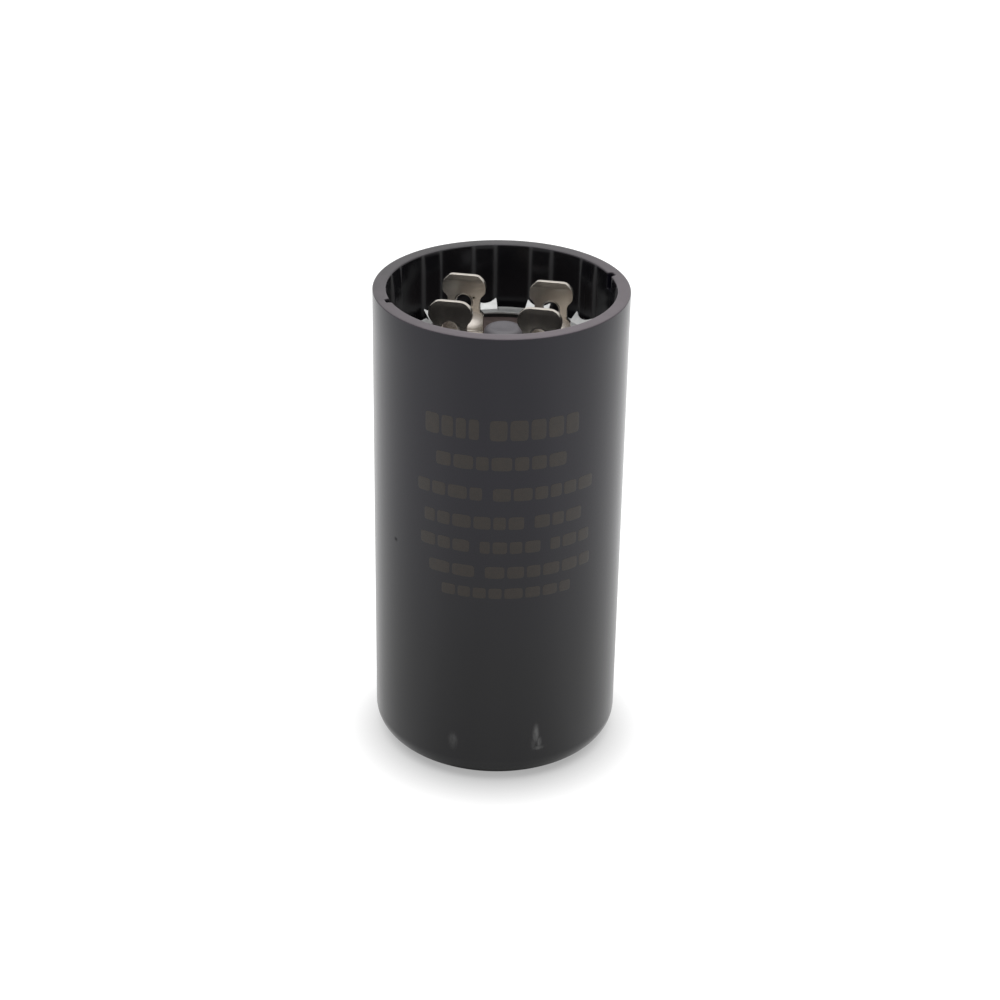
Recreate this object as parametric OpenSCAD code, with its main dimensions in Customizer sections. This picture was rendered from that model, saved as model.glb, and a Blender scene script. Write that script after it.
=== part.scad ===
// Motor start capacitor: a wound roll in a moulded cup, closed by a header with two double-tab
// terminals that stand in an open well. Millimetres, +Z up. The origin is the middle of the foot,
// and X runs through the two terminals.

/* [Case] */
// Outside diameter of the case
case_d = 36.5; // [34:0.5:52]
// Height from the foot to the rim
case_h = 71.4; // [60:0.1:120]
// Thickness of the wall in the well, between two ribs
case_wall = 1.95; // [1.6:0.05:2.6]
// Thickness of the floor
case_floor = 2.4; // [1.6:0.1:4]
// Rounding of the outer edge at the foot
foot_r = 3.4; // [1:0.1:4.2]
// Lead-in chamfer inside the rim
rim_chamfer = 0.25; // [0.2:0.05:0.8]
// Rounding of the rim's outer edge
rim_edge_r = 0.2; // [0.1:0.05:0.6]

/* [Ribs and notches in the well] */
// Number of ribs, and of lock ring teeth
rib_count = 12; // [6:1:14]
// Height of a rib above the wall
rib_depth = 0.35; // [0.25:0.05:0.6]
// Width of a rib's crown
rib_crown = 2.8; // [2:0.1:3.4]
// Width of each sloping side of a rib
rib_flank = 0.5; // [0.2:0.05:0.6]
// Height of a rib where it starts, at the rim's chamfer
rib_start = 0.05; // [0.05:0.01:0.2]
// Length of the ramp from there to a rib's full height
rib_lead = 2.6; // [0.6:0.1:3]
// Angle from the terminal line to the first rib
rib_turn = 19.3; // [0:0.1:30]
// Angle from the terminal line to the first rim notch
notch_turn = 29.5; // [0:0.1:180]
// Width of a rim notch
notch_w = 1.3; // [0.8:0.1:2]
// Depth of a rim notch into the wall
notch_depth = 0.75; // [0.4:0.05:1]
// Length of a rim notch, down from the rim
notch_l = 2.5; // [2:0.1:6]
// Drop of the grooves between the ribs below the lock ring
groove_drop = 0.3; // [0.1:0.05:0.5]

/* [Header and seal] */
// Depth from the rim to the header's top face
well_depth = 10.35; // [9:0.05:14]
// Thickness of the header
header_t = 5; // [4:0.1:8]
// Width of the ledge in the case that carries the header
ledge_w = 0.9; // [0.6:0.1:1.4]
// Width of the seal around the header
seal_w = 2.4; // [2:0.05:3]
// Height of the seal above the header's top face
seal_stand = 0.55; // [0.3:0.05:0.8]
// Depth of the seal's seat below the header's top face
seal_seat = 1; // [0.6:0.1:1.6]

/* [Lock ring] */
// Thickness of the lock ring's sheet
ring_t = 0.25; // [0.2:0.05:0.4]
// Overhang of the ring past the inside of the seal
ring_lip = 0.15; // [0.1:0.05:0.5]
// Gap from the ring's flat edge to the ribs
ring_gap = 0.8; // [0.5:0.05:1]
// Depth of the slits that free the teeth
slit_depth = 0.75; // [0.5:0.05:1]
// Width of a tooth
tooth_w = 3.6; // [2.6:0.1:4.4]
// Angle at which the teeth stand up
tooth_tilt = 42; // [30:1:50]
// Depth of the hollow in a tooth's end
tail_depth = 0.75; // [0.4:0.05:0.9]

/* [Terminals] */
// Distance between the two terminals
terminal_pitch = 12.7; // [12:0.1:14]
// Distance between the two tabs of one terminal
tab_pitch = 10; // [9:0.1:12]
// Distance of the tabs' tops below the rim
tab_drop = 0.6; // [0:0.1:1.2]
// Width of a tab
tab_w = 6.3; // [4.8:0.1:6.4]
// Thickness of the terminal strip
tab_t = 0.8; // [0.5:0.05:1]
// Chamfer of a tab's corners
tab_corner = 1.1; // [0.5:0.1:1.5]
// Height of the bevel at a tab's top
tip_h = 0.85; // [0.4:0.05:1.2]
// Bevel taken off each face at a tab's top
tip_bevel = 0.1; // [0.05:0.01:0.24]
// Length of a tab's full width, from its top
head_l = 2.6; // [2:0.1:3.2]
// Where the neck starts, from the tab's top
neck_start = 3.5; // [3.3:0.1:4.4]
// Where the neck ends, from the tab's top
neck_end = 5.5; // [5:0.1:6.2]
// Width of the neck
neck_w = 4.7; // [3.6:0.1:5.2]
// Width of the leg and the base
leg_w = 5.8; // [5.4:0.1:6]
// Height of the slope between the leg and the neck
leg_slope = 0.45; // [0.2:0.05:0.8]
// Inside radius of the two bends
bend_r = 0.5; // [0.3:0.1:1]
// Diameter of the hole in a tab
tab_hole_d = 2.3; // [1.4:0.1:2.4]
// Distance of that hole below the tab's top
tab_hole_drop = 4.1; // [3.6:0.1:5]

/* [Rivets] */
// Diameter of a rivet's shank
rivet_d = 3; // [2.4:0.1:3.4]
// Diameter of a rivet's heads
rivet_head_d = 4.8; // [4.2:0.1:5.2]
// Height of a rivet's heads
rivet_head_h = 0.9; // [0.6:0.1:1.2]
// Diameter of the washer under the header
washer_d = 7; // [6:0.1:7]
// Thickness of that washer
washer_t = 0.6; // [0.4:0.1:1]

/* [Vent plug] */
// Diameter of the plug
plug_d = 5.7; // [5:0.1:5.9]
// Height of the plug above the header
plug_h = 4.35; // [2:0.05:6]
// Rounding of the plug's top edge
plug_edge_r = 1; // [0.3:0.1:1.4]
// Distance of the plug from the middle, towards the right terminal
plug_shift = 0.4; // [0:0.05:0.45]
// Diameter of the plug's stem
stem_d = 4; // [3:0.1:4.4]
// Diameter of the lip at the stem's end
stem_lip_d = 4.6; // [4.5:0.1:4.7]
// Height of that lip
stem_lip_h = 0.8; // [0.5:0.1:1.2]

/* [Winding] */
// Gap between the roll and the case
winding_gap = 0.3; // [0.25:0.05:1]
// Room for the lead strips between the roll and the header
lead_room = 6; // [4:0.1:10]
// Diameter of the hole in the roll's middle
core_d = 4.5; // [3:0.5:8]
// Thickness of the pad under the roll
pad_t = 0.8; // [0.4:0.1:1.6]
// Width of the tape around the roll
tape_w = 14; // [8:1:20]
// Thickness of the tape
tape_t = 0.12; // [0.08:0.02:0.16]
// Width of a lead strip
lead_w = 5; // [4:0.1:6]
// Thickness of a lead strip
lead_t = 0.3; // [0.2:0.05:0.5]
// Distance from a rivet to the strip's bend
lead_reach = 4.2; // [3.6:0.1:5]

/* [Fits] */
// Play between pieces that slide into each other
fit_gap = 0.03; // [0.02:0.01:0.08]
// Gap between a tooth's tip and its rib
bite_gap = 0.05; // [0.02:0.01:0.1]

/* [Hidden] */
$fn = 96;
// Length by which a cut runs past a face
over = 1;

// Radii, from the outside in
case_r = case_d / 2;
bore_r = case_r - case_wall;
crown_r = bore_r - rib_depth;
header_r = crown_r - fit_gap;
plateau_r = header_r - seal_w;
chamber_r = crown_r - ledge_w;
winding_r = chamber_r - winding_gap;

// Heights, from the rim down
header_top = case_h - well_depth;
header_bottom = header_top - header_t;
seal_bottom = header_top - seal_seat;
seal_top = header_top + seal_stand;
groove_end = seal_top - groove_drop;
winding_top = header_bottom - lead_room;
winding_bottom = case_floor + pad_t;

// Lock ring and its teeth
ring_in_r = plateau_r - ring_lip;
ring_out_r = crown_r - ring_gap;
tooth_root_r = ring_out_r - slit_depth;
tooth_l = (crown_r - bite_gap - tooth_root_r) / cos(tooth_tilt);
tail_r = (pow(tooth_w / 2, 2) + pow(tail_depth, 2)) / (2 * tail_depth);
slit_w = tooth_w + 2 * ring_t;

// Terminals
terminal_h = well_depth - tab_drop;
tab_half = tab_pitch / 2;
leg_h = terminal_h - neck_end - leg_slope;

// Rivet stack under the header
rivet_hole_r = rivet_d / 2 + fit_gap;
washer_bottom = header_bottom - washer_t;
strip_bottom = washer_bottom - lead_t;

// Block with two rounded lower corners, in the plane of a terminal's bends
module rounded_block(half, r, bottom, top) {
    translate([-half, bottom + r]) square([2 * half, top - bottom - r]);
    translate([r - half, bottom]) square([2 * (half - r), top - bottom]);
    for (side = [-1, 1])
        translate([side * (half - r), bottom + r]) circle(r);
}

// Block from the left to the right and from the bottom to the top, with a rounded upper right corner
module corner_block(left, right, bottom, top, r) {
    translate([left, bottom]) square([right - r - left, top - bottom]);
    translate([left, bottom]) square([right - left, top - r - bottom]);
    translate([right - r, top - r]) circle(r);
}

// Ring from one height to another
module ring(r_out, r_in, bottom, top) {
    translate([0, 0, bottom]) difference() {
        cylinder(r = r_out, h = top - bottom);
        translate([0, 0, -over]) cylinder(r = r_in, h = top - bottom + 2 * over);
    }
}

// Moves the children to one terminal: -1 for the left one, 1 for the right one
module at_terminal(side) {
    translate([side * terminal_pitch / 2, 0, 0]) children();
}

// Half section of the case's outside, with the round foot and the softened rim
module case_outline() {
    square([case_r - foot_r, case_h]);
    translate([0, foot_r]) square([case_r, case_h - rim_edge_r - foot_r]);
    translate([0, foot_r]) square([case_r - rim_edge_r, case_h - foot_r]);
    translate([case_r - foot_r, foot_r]) circle(foot_r);
    translate([case_r - rim_edge_r, case_h - rim_edge_r]) circle(rim_edge_r);
}

// Half section of the winding's chamber, with a round lower corner that the pad fits inside
module chamber_outline() {
    translate([0, winding_bottom]) square([chamber_r, header_bottom - winding_bottom + over]);
    translate([0, case_floor]) square([chamber_r - pad_t, header_bottom - case_floor]);
    translate([chamber_r - pad_t, winding_bottom]) circle(pad_t);
}

// Half section of the well along a rib: the header's bore, the ramp at the rib's top and the mouth
module rib_outline() {
    ramp_top = case_h - rim_chamfer - rib_start;
    polygon([
        [0, header_bottom], [crown_r, header_bottom], [crown_r, ramp_top - rib_lead],
        [bore_r - rib_start, ramp_top], [bore_r + rim_chamfer + over, case_h + over],
        [0, case_h + over]
    ]);
}

// The ribs stand on the wall of the well, and the case trims them
module ribs() {
    base_half = rib_crown / 2 + rib_flank * (1 + over / rib_depth);
    tip_half = rib_crown / 2 - rib_flank * over / rib_depth;
    for (k = [0 : rib_count - 1])
        rotate(rib_turn + k * 360 / rib_count)
            translate([0, 0, groove_end])
                linear_extrude(case_h - groove_end)
                    polygon([
                        [crown_r - over, -tip_half], [bore_r + over, -base_half],
                        [bore_r + over, base_half], [crown_r - over, tip_half]
                    ]);
}

// Moulded cup: the well with its ribs, the bore and ledge for the header, the winding's chamber
module case() {
    color([0.17, 0.17, 0.18]) difference() {
        union() {
            rotate_extrude() difference() {
                case_outline();
                chamber_outline();
                translate([0, groove_end]) square([bore_r, well_depth + over]);
            }
            ribs();
        }
        rotate_extrude() rib_outline();
        for (turn = [0, 180])
            rotate(notch_turn + turn)
                translate([0, -notch_w / 2, case_h - notch_l])
                    cube([bore_r + notch_depth, notch_w, notch_l + over]);
    }
}

// Header disc with a stepped edge for the seal
module header() {
    color([0.27, 0.21, 0.19]) translate([0, 0, header_bottom]) difference() {
        union() {
            cylinder(r = header_r, h = header_t - seal_seat);
            cylinder(r = plateau_r, h = header_t);
        }
        for (side = [-1, 1])
            at_terminal(side)
                translate([0, 0, -over]) cylinder(r = rivet_hole_r, h = header_t + 2 * over);
        translate([plug_shift, 0, -over])
            cylinder(r = stem_d / 2 + fit_gap, h = header_t + 2 * over);
    }
}

module header_seal() {
    color([0.07, 0.07, 0.07]) ring(header_r, plateau_r + fit_gap, seal_bottom, seal_top);
}

// One tooth, turned up from the ring's slit, with a hollow end that leaves two points
module lock_tooth() {
    translate([tooth_root_r, 0, seal_top])
        rotate([0, -tooth_tilt, 0])
            linear_extrude(ring_t) difference() {
                translate([0, -tooth_w / 2]) square([tooth_l, tooth_w]);
                translate([tooth_l - tail_depth + tail_r, 0]) circle(tail_r);
            }
}

module lock_ring() {
    color([0.78, 0.79, 0.78]) {
        difference() {
            ring(ring_out_r, ring_in_r, seal_top, seal_top + ring_t);
            for (k = [0 : rib_count - 1])
                rotate(rib_turn + k * 360 / rib_count)
                    translate([tooth_root_r, -slit_w / 2, seal_top - over])
                        cube([slit_depth + over, slit_w, ring_t + 2 * over]);
        }
        for (k = [0 : rib_count - 1])
            rotate(rib_turn + k * 360 / rib_count) lock_tooth();
    }
}

// Rubber plug: a round-edged head on the header, a stem through it and a lip below
module vent_plug() {
    plug_r = plug_d / 2;
    color([0.45, 0.44, 0.46]) translate([plug_shift, 0, 0]) rotate_extrude() {
        translate([0, header_top]) {
            square([plug_r, plug_h - plug_edge_r]);
            square([plug_r - plug_edge_r, plug_h]);
            translate([plug_r - plug_edge_r, plug_h - plug_edge_r]) circle(plug_edge_r);
        }
        translate([0, header_bottom - stem_lip_h]) {
            square([stem_d / 2, header_t + stem_lip_h + over]);
            square([stem_lip_d / 2, stem_lip_h]);
        }
    }
}

// The folded strip seen along X: a U whose two ends are bevelled on both faces
module strip_section() {
    bevel_run = tip_bevel * (tip_h + over) / tip_h;
    difference() {
        rounded_block(tab_half + tab_t / 2, bend_r + tab_t, 0, terminal_h);
        rounded_block(tab_half - tab_t / 2, bend_r, tab_t, terminal_h + over);
        for (tab = [-1, 1], face = [-1, 1])
            translate([tab * tab_half, terminal_h - tip_h])
                polygon([
                    [face * tab_t / 2, 0], [face * (tab_t / 2 + over), 0],
                    [face * (tab_t / 2 + over), tip_h + over],
                    [face * (tab_t / 2 - bevel_run), tip_h + over]
                ]);
    }
}

// The strip seen along Y: the leg, the neck and the tab's head
module strip_front() {
    head_half = tab_w / 2;
    neck_half = neck_w / 2;
    leg_half = leg_w / 2;
    right = [
        [leg_half, 0], [leg_half, leg_h], [neck_half, leg_h + leg_slope],
        [neck_half, terminal_h - neck_start], [head_half, terminal_h - head_l],
        [head_half, terminal_h - tab_corner], [head_half - tab_corner, terminal_h]
    ];
    left = [for (k = [len(right) - 1 : -1 : 0]) [-right[k].x, right[k].y]];
    polygon(concat(right, left));
}

// One terminal: a single folded strip with two tabs, riveted through its base
module terminal(side) {
    span = tab_pitch + tab_t + 2 * over;
    color([0.66, 0.62, 0.58]) at_terminal(side) translate([0, 0, header_top]) difference() {
        intersection() {
            rotate([90, 0, 90]) linear_extrude(tab_w + 2 * over, center = true) strip_section();
            rotate([90, 0, 0]) linear_extrude(span, center = true) strip_front();
        }
        translate([0, 0, -over]) cylinder(r = rivet_hole_r, h = tab_t + 2 * over);
        translate([0, 0, terminal_h - tab_hole_drop])
            rotate([90, 0, 0]) cylinder(d = tab_hole_d, h = span, center = true);
    }
}

// One rivet: a domed head on the terminal, and a flat one under the lead strip
module rivet(side) {
    head_r = rivet_head_d / 2;
    dome_r = (pow(head_r, 2) + pow(rivet_head_h, 2)) / (2 * rivet_head_h);
    strip_top = header_top + tab_t;
    shank_top = strip_top + rivet_head_h / 2;
    shank_bottom = strip_bottom - rivet_head_h;
    color([0.75, 0.75, 0.76]) at_terminal(side) rotate_extrude() {
        translate([0, shank_bottom]) square([head_r, rivet_head_h]);
        translate([0, shank_bottom]) square([rivet_d / 2, shank_top - shank_bottom]);
        intersection() {
            translate([0, strip_top + rivet_head_h - dome_r]) circle(dome_r);
            translate([0, strip_top]) square([head_r, rivet_head_h]);
        }
    }
}

module rivet_washer(side) {
    color([0.7, 0.7, 0.7]) at_terminal(side)
        ring(washer_d / 2, rivet_hole_r, washer_bottom, header_bottom);
}

// Foil strip: clamped under the washer, then bent down to the roll's top
module lead_strip(side) {
    color([0.82, 0.83, 0.85]) at_terminal(side) mirror([side < 0 ? 1 : 0, 0, 0]) difference() {
        rotate([90, 0, 0]) linear_extrude(lead_w, center = true) difference() {
            corner_block(-lead_w / 2, lead_reach, winding_top, washer_bottom, bend_r + lead_t);
            corner_block(-lead_w / 2 - over, lead_reach - lead_t, winding_top - over, strip_bottom, bend_r);
        }
        translate([0, 0, strip_bottom - over]) cylinder(r = rivet_hole_r, h = lead_t + 2 * over);
    }
}

module winding() {
    color([0.62, 0.52, 0.4]) ring(winding_r, core_d / 2, winding_bottom, winding_top);
}

module winding_tape() {
    middle = (winding_bottom + winding_top) / 2;
    tape_r = winding_r + fit_gap;
    color([0.85, 0.8, 0.6]) ring(tape_r + tape_t, tape_r, middle - tape_w / 2, middle + tape_w / 2);
}

module base_pad() {
    color([0.75, 0.68, 0.55])
        translate([0, 0, case_floor]) cylinder(r = chamber_r - pad_t, h = pad_t);
}

case();
header();
header_seal();
lock_ring();
vent_plug();
terminal(-1);  // terminal_left
terminal(1);  // terminal_right
rivet(-1);  // rivet_left
rivet(1);  // rivet_right
rivet_washer(-1);  // rivet_washer_left
rivet_washer(1);  // rivet_washer_right
lead_strip(-1);  // lead_strip_left
lead_strip(1);  // lead_strip_right
winding();
winding_tape();
base_pad();
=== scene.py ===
# %% [markdown]
# # A motor start capacitor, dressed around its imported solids
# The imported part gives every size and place. This script keeps that frame, makes the pieces that
# show again as smooth surfaces with soft edges, and gives each piece the finish of the real one.
# All lengths below are in millimetres and become metres when a mesh is made.

import bmesh
import bpy
import numpy as np
from mathutils import Matrix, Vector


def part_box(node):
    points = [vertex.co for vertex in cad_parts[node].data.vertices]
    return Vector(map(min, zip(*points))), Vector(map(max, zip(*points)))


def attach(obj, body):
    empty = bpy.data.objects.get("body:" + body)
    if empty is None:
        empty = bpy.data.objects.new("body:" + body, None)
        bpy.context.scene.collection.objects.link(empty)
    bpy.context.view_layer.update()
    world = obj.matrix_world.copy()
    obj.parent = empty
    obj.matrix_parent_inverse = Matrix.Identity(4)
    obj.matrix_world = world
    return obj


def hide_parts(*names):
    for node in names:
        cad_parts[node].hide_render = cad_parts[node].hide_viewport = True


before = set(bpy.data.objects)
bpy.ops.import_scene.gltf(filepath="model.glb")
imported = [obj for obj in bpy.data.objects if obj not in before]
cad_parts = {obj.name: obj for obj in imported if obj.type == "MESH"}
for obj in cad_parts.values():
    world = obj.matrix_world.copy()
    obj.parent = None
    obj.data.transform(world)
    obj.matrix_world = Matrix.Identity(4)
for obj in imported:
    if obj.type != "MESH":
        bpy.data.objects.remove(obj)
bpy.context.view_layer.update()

MM = 0.001
scene = bpy.context.scene
print("solids:", ", ".join(sorted(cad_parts)))

# %% [markdown]
# ## Sizes
# A part that is dressed in Blender should follow its drawing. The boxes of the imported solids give
# most sizes, so a taller case or a wider plug is followed without a change here. What a box can't
# tell, such as the thickness of a wall, is repeated from the drawing.

# %% Read the sizes from the boxes
def span(node):
    """The lowest and highest corner of a solid, in millimetres."""
    low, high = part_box(node)
    return np.array(low) / MM, np.array(high) / MM


case_r, case_h = span("case")[1][0], span("case")[1][2]
header_bottom, header_top = span("header")[0][2], span("header")[1][2]
header_r = span("header")[1][0]
seal_bottom, seal_top = span("header_seal")[0][2], span("header_seal")[1][2]
plug_low, plug_high = span("vent_plug")
plug_x, plug_r = (plug_low[0] + plug_high[0]) / 2, (plug_high[0] - plug_low[0]) / 2
stem_bottom, plug_top = plug_low[2], plug_high[2]
winding_bottom = span("winding")[0][2]
pad_r, floor_top = span("base_pad")[1][0], span("base_pad")[0][2]
print(f"case {2 * case_r:.1f} across and {case_h:.1f} high, header at {header_top:.2f}")

# %% [markdown]
# ## Camera
# The photograph looks down on the capacitor by about 28 degrees through a long lens. The camera is
# built from that distance, rise and roll as a matrix whose columns are its right, up and back
# directions.

# %% Place the camera
CAMERA_DISTANCE, CAMERA_RISE = 342.5, np.radians(28.035)
CAMERA_TURN, CAMERA_ROLL = np.radians(10.0), np.radians(0.963)
AIM_HEIGHT = 35.7
SENSOR_W, LENS_L, LENS_SHIFT = 36, 83.16, (0.002, 0.0105)
CLIP_NEAR, CLIP_FAR = 0.01, 20  # metres


def around(turn, rise):
    """The direction from the object towards a point at this turn from -Y and this rise."""
    return np.array([np.sin(turn) * np.cos(rise), -np.cos(turn) * np.cos(rise), np.sin(rise)])


def looking(place, aim, roll=0.0):
    """A matrix at a place whose -Z axis looks at the aim, with its up side turned by roll."""
    back = (place - aim) / np.linalg.norm(place - aim)
    right = np.cross([0, 0, 1], back)
    right /= np.linalg.norm(right)
    up = np.cross(back, right)
    rolled = np.cos(roll) * right + np.sin(roll) * up
    matrix = np.eye(4)
    matrix[:3, :4] = np.stack([rolled, np.cross(back, rolled), back, place * MM], 1)
    return Matrix(matrix.tolist())


aim = np.array([0, 0, AIM_HEIGHT])
lens = bpy.data.cameras.new("camera")
lens.sensor_width, lens.lens = SENSOR_W, LENS_L
lens.shift_x, lens.shift_y = LENS_SHIFT
lens.clip_start, lens.clip_end = CLIP_NEAR, CLIP_FAR
camera = bpy.data.objects.new("camera", lens)
scene.collection.objects.link(camera)
camera.matrix_world = looking(
    aim + CAMERA_DISTANCE * around(CAMERA_TURN, CAMERA_RISE), aim, CAMERA_ROLL
)
scene.camera = camera
print("camera at", [round(v, 3) for v in camera.location])

# %% [markdown]
# ## Grids of points
# Every new piece is made of grids: one direction runs along a profile and the other carries it
# round an axis or along a path. Whole arrays of points go into the mesh at once, which is quicker
# and easier to read than a loop over vertices. Seams and poles are welded after that.

# %% Turn grids into meshes
WELD, SLIVER = 1e-7, 1e-8  # metres
SHARP_FROM, BEVEL_FROM, BEVEL_STEPS = np.radians(40), np.radians(35), 2


def grid_quads(rows, columns, wrap):
    """Corner numbers of each quad in a grid of points; wrap joins the last row to the first."""
    row, column = np.meshgrid(
        np.arange(rows if wrap else rows - 1), np.arange(columns - 1), indexing="ij"
    )
    here, after = row * columns + column, (row + 1) % rows * columns + column
    return np.stack([here, after, after + 1, here + 1], -1).reshape(-1, 4)


def grid_mesh(name, grids, marks):
    """A welded mesh from (points, wrap) grids in millimetres, with named values at its points."""
    points = np.concatenate([grid.reshape(-1, 3) for grid, wrap in grids]) * MM
    first = np.cumsum([0] + [grid[..., 0].size for grid, wrap in grids[:-1]])
    quads = np.concatenate(
        [start + grid_quads(*grid.shape[:2], wrap) for start, (grid, wrap) in zip(first, grids)]
    )
    mesh = bpy.data.meshes.new(name)
    mesh.vertices.add(len(points))
    mesh.vertices.foreach_set("co", points.ravel())
    mesh.loops.add(quads.size)
    mesh.loops.foreach_set("vertex_index", quads.ravel())
    mesh.polygons.add(len(quads))
    mesh.polygons.foreach_set("loop_start", np.arange(0, quads.size, 4))
    for mark, values in marks.items():
        layer = mesh.attributes.new(mark, "FLOAT", "POINT")
        layer.data.foreach_set("value", values.ravel().astype(np.float32))
    mesh.update()
    shell = bmesh.new()
    shell.from_mesh(mesh)
    bmesh.ops.remove_doubles(shell, verts=shell.verts, dist=WELD)
    bmesh.ops.dissolve_degenerate(shell, edges=shell.edges, dist=SLIVER)
    bmesh.ops.recalc_face_normals(shell, faces=shell.faces)
    shell.to_mesh(mesh)
    shell.free()
    mesh.shade_smooth()
    mesh.set_sharp_from_angle(angle=SHARP_FROM)
    return mesh


# %% [markdown]
# A stamped piece is worked out as a sheet without thickness. Solidify gives it the thickness,
# Bevel softens its cut edges, and a mark named thickness makes the sheet thinner in places.

# %% Turn a mesh into a piece
def build(name, grids, finish, nodes=(), sheet=0.0, edge=0.0, marks=None):
    """One piece that rides on the part: sheet is its thickness, edge rounds its cut edges."""
    marks = marks or {}
    mesh = grid_mesh(name, grids, marks)
    piece = bpy.data.objects.new(name, mesh)
    scene.collection.objects.link(piece)
    if sheet:
        wall = piece.modifiers.new("thickness", "SOLIDIFY")
        wall.thickness, wall.offset, wall.use_even_offset = sheet * MM, 0, True
    if "thickness" in marks:
        group = piece.vertex_groups.new(name="thickness")
        values = np.zeros(len(mesh.vertices), np.float32)
        mesh.attributes["thickness"].data.foreach_get("value", values)
        for level in np.unique(values):
            group.add(np.flatnonzero(values == level).tolist(), float(level), "REPLACE")
        wall.vertex_group = "thickness"
    if edge:
        bevel = piece.modifiers.new("edges", "BEVEL")
        bevel.width, bevel.segments, bevel.limit_method = edge * MM, BEVEL_STEPS, "ANGLE"
        bevel.angle_limit, bevel.harden_normals = BEVEL_FROM, True
    mesh.materials.append(finish)
    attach(piece, "root")
    if nodes:
        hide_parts(*nodes)
    print(f"{name}: {len(mesh.polygons)} faces")


def turned(profile, count=96, middle=(0, 0)):
    """A profile of (radius, height) points carried round an upright axis through the middle."""
    angle = np.linspace(0, 2 * np.pi, count, endpoint=False)[:, None]
    radius, height = np.asarray(profile, float).T
    x = middle[0] + radius * np.cos(angle)
    y = middle[1] + radius * np.sin(angle)
    return np.stack([x, y, np.broadcast_to(height, x.shape)], -1), True


def arc(centre, radius, start, end, count=7):
    """Points on a circle in the plane of a profile, from one angle in degrees to another."""
    angle = np.radians(np.linspace(start, end, count))
    return np.stack([centre[0] + radius * np.cos(angle), centre[1] + radius * np.sin(angle)], 1)


# %% [markdown]
# ## Finishes
# Each finish is a Principled shader whose colour, roughness and bump come from noise in Object
# coordinates, so the grain has a real size and stays with the piece. The first helper adds a node
# and sets its inputs, others make the sums that come up again and again, and the last one makes the
# mottled finish that most of the pieces share.

# %% Make the shared nodes of a finish
def add(tree, kind, settings=None, **inputs):
    """A new node with its settings made and its inputs set or linked."""
    node = tree.nodes.new(kind)
    for key, value in (settings or {}).items():
        setattr(node, key, value)
    for key, value in inputs.items():
        numbered = key[1:].isdigit()
        socket = node.inputs[int(key[1:])] if numbered else node.inputs[key.replace("_", " ")]
        if isinstance(value, bpy.types.NodeSocket):
            tree.links.new(value, socket)
        else:
            socket.default_value = value
    return node


def place_of(tree):
    """The place of the shaded point in the piece's own coordinates, in metres."""
    return add(tree, "ShaderNodeTexCoord").outputs["Object"]


def vector(tree, operation, *values):
    """One sum of vectors, as the outputs of its node: a Vector or a Value."""
    inputs = {f"i{number}": value for number, value in enumerate(values)}
    return add(tree, "ShaderNodeVectorMath", {"operation": operation}, **inputs).outputs


def grain(tree, size, stretch=(1, 1, 1), detail=3.0):
    """Noise whose spots are about this many millimetres wide, stretched along the axes."""
    scaled = add(tree, "ShaderNodeMapping", Vector=place_of(tree), Scale=[1 / s for s in stretch])
    noise = add(
        tree, "ShaderNodeTexNoise", Vector=scaled.outputs[0], Scale=1 / (size * MM), Detail=detail
    )
    return noise.outputs["Fac"]


def between(tree, value, low, high, start=0.3, end=0.7):
    """Maps a value from start..end to low..high and holds it there."""
    return add(
        tree, "ShaderNodeMapRange", i0=value, i1=start, i2=end, i3=low, i4=high
    ).outputs[0]


def calc(tree, operation, first, second):
    """One sum of two numbers or sockets."""
    return add(tree, "ShaderNodeMath", {"operation": operation}, i0=first, i1=second).outputs[0]


def tint(tree, value, first, second):
    """A colour that goes from the first to the second as the value goes from 0 to 1."""
    ends = [c if isinstance(c, bpy.types.NodeSocket) else (*c, 1) for c in (first, second)]
    mix = add(tree, "ShaderNodeMix", {"data_type": "RGBA"}, i0=value, i6=ends[0], i7=ends[1])
    return mix.outputs[2]


def mark(tree, name):
    """The values that a piece carries at its points under this name."""
    return add(tree, "ShaderNodeAttribute", {"attribute_name": name}).outputs["Fac"]


def new_finish(name):
    """An empty material with its node tree and its Principled shader."""
    material = bpy.data.materials.new(name)
    material.use_nodes = True
    tree = material.node_tree
    return material, tree, tree.nodes["Principled BSDF"]


def mottled(name, colours, spot_size, rough, grain_size, depth, stretch=(1, 1, 1), metal=0.0):
    """Two close colours in soft spots, a range of roughness and a fine bumpy grain."""
    material, tree, shader = new_finish(name)
    cloud = between(tree, grain(tree, spot_size, stretch), 0.0, 1.0)
    fine = grain(tree, grain_size, stretch, detail=2.0)
    tree.links.new(tint(tree, cloud, *colours), shader.inputs["Base Color"])
    tree.links.new(between(tree, fine, *rough), shader.inputs["Roughness"])
    if depth:
        bump = add(tree, "ShaderNodeBump", Height=fine, Distance=depth * MM, Strength=0.6)
        tree.links.new(bump.outputs[0], shader.inputs["Normal"])
    shader.inputs["Metallic"].default_value = metal
    return material


# %% [markdown]
# ## Case finish
# The case is black moulded plastic with a soft gloss. Its tone comes almost wholly from what it
# reflects, so the colour is nearly black, a little bluer towards the rim, and the roughness does
# the work: low on the outside, lower in the well, higher on the rim and on the sides of the ribs,
# which the mould left dull. The sides of the ribs also carry a painted highlight in pale grey. The
# rim carries a painted sheen, paler towards the front right, in patches. Two pale marks near the
# foot and a dull speck on the wall are soft ellipses.

# %% Place the wear on the case
def spot(tree, middle, radii):
    """1 in the inner quarter of a soft ellipsoid, falling to 0 at its edge."""
    moved = vector(tree, "SUBTRACT", place_of(tree), np.asarray(middle) * MM)["Vector"]
    scaled = vector(tree, "DIVIDE", moved, np.asarray(radii) * MM)["Vector"]
    return add(
        tree, "ShaderNodeMapRange", {"interpolation_type": "SMOOTHSTEP"},
        i0=vector(tree, "LENGTH", scaled)["Value"], i1=1.0, i2=0.25, i3=0.0, i4=1.0,
    ).outputs[0]


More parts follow.
